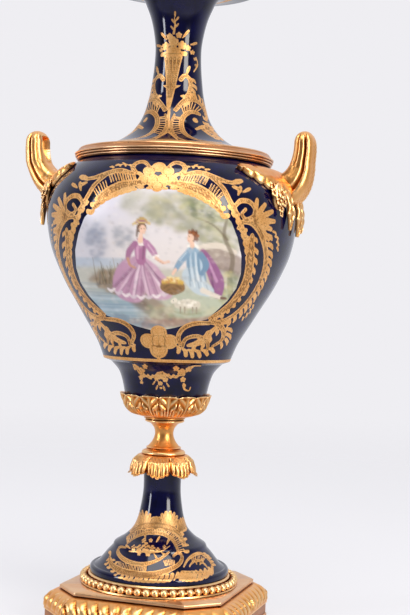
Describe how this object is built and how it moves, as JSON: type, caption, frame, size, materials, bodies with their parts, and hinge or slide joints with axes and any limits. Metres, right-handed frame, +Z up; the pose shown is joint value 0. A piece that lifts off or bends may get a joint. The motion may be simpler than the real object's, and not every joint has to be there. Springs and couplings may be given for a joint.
{
  "type": "porcelain cassolette",
  "caption": "Covered porcelain vase on a slender foot, dark blue with gilding and a painted panel, with cast bronze handles, leaf cup, pearl ring and square plinth.",
  "frame": {"origin": "middle of the plinth's flat underside, on the axis that the vase is turned about", "axes": "+Z up the axis of the vase, -Y towards the painted front, +X towards the handle on the viewer's right"},
  "size_m": [0.1497, 0.1244, 0.3533],
  "materials": {
    "cobalt_glaze": "deep cobalt glaze, glossy, with gilding and a painted panel over the glaze",
    "gilt_bronze": "cast, chased and gilt bronze, satin with burnished edges"
  },
  "bodies": {
    "root": {"plinth": "gilt_bronze", "pearl_ring": "gilt_bronze", "foot": "cobalt_glaze", "stem": "gilt_bronze", "leaf_cup": "gilt_bronze", "body": "cobalt_glaze", "shoulder_ring": "gilt_bronze", "neck": "cobalt_glaze", "lid": "cobalt_glaze", "knop": "gilt_bronze", "handle_right": "gilt_bronze", "handle_left": "gilt_bronze"}
  },
  "joints": []
}
